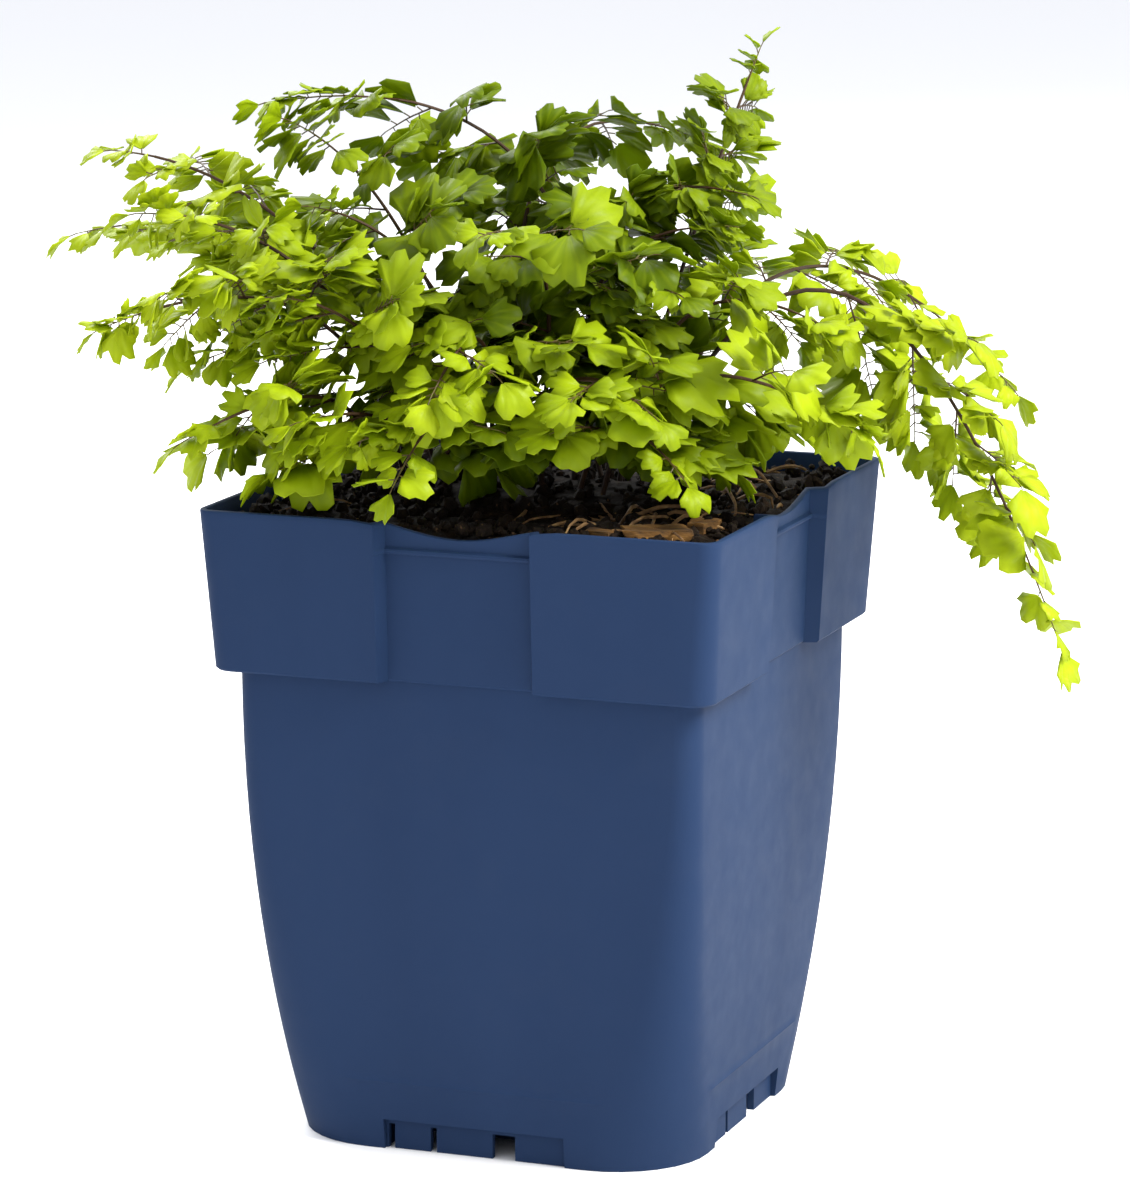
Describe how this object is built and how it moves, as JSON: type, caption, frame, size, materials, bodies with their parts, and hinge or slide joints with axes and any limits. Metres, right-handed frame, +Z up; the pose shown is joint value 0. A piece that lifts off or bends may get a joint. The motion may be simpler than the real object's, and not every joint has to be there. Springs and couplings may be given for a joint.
{
  "type": "potted fern",
  "caption": "Young maidenhair fern with wiry stalks and fan-shaped leaflets, growing in a square moulded nursery pot with a stepped collar.",
  "frame": {"origin": "centre of the pot's underside, on the surface it stands on", "axes": "+Z up; the pot's sides face X and Y, and the pot's front faces -Y; the trailing frond hangs out towards +X"},
  "size_m": [0.1789, 0.1227, 0.1833],
  "materials": {
    "pot_plastic": "satin moulded plastic, navy blue",
    "potting_mix": "dark, damp, fibrous peat mix",
    "rhizome": "dark brown, scaly",
    "stalk": "dark brown to black, wiry and slightly glossy",
    "leaf": "thin bright lime-green leaf, softly satin",
    "bark": "rough orange-brown bark",
    "dry_stalk": "dry, dull straw brown"
  },
  "bodies": {
    "root": {"pot": "pot_plastic", "potting_mix": "potting_mix", "rhizome": "rhizome", "bark_chip_1": "bark", "bark_chip_2": "bark", "bark_chip_3": "bark", "dry_stalk_1": "dry_stalk", "dry_stalk_2": "dry_stalk", "dry_stalk_3": "dry_stalk", "frond_01_stalk": "stalk", "frond_01_blade": "leaf", "frond_02_stalk": "stalk", "frond_02_blade": "leaf", "frond_03_stalk": "stalk", "frond_03_blade": "leaf", "frond_04_stalk": "stalk", "frond_04_blade": "leaf", "frond_05_stalk": "stalk", "frond_05_blade": "leaf", "frond_06_stalk": "stalk", "frond_06_blade": "leaf", "frond_07_stalk": "stalk", "frond_07_blade": "leaf", "frond_08_stalk": "stalk", "frond_08_blade": "leaf", "frond_09_stalk": "stalk", "frond_09_blade": "leaf", "frond_10_stalk": "stalk", "frond_10_blade": "leaf", "frond_11_stalk": "stalk", "frond_11_blade": "leaf", "frond_12_stalk": "stalk", "frond_12_blade": "leaf", "frond_13_stalk": "stalk", "frond_13_blade": "leaf", "frond_14_stalk": "stalk", "frond_14_blade": "leaf", "frond_15_stalk": "stalk", "frond_15_blade": "leaf", "frond_16_stalk": "stalk", "frond_16_blade": "leaf", "frond_17_stalk": "stalk", "frond_17_blade": "leaf", "frond_18_stalk": "stalk", "frond_18_blade": "leaf", "frond_19_stalk": "stalk", "frond_19_blade": "leaf", "frond_20_stalk": "stalk", "frond_20_blade": "leaf", "frond_21_stalk": "stalk", "frond_21_blade": "leaf", "frond_22_stalk": "stalk", "frond_22_blade": "leaf", "frond_23_stalk": "stalk", "frond_23_blade": "leaf", "frond_24_stalk": "stalk", "frond_24_blade": "leaf"}
  },
  "joints": []
}
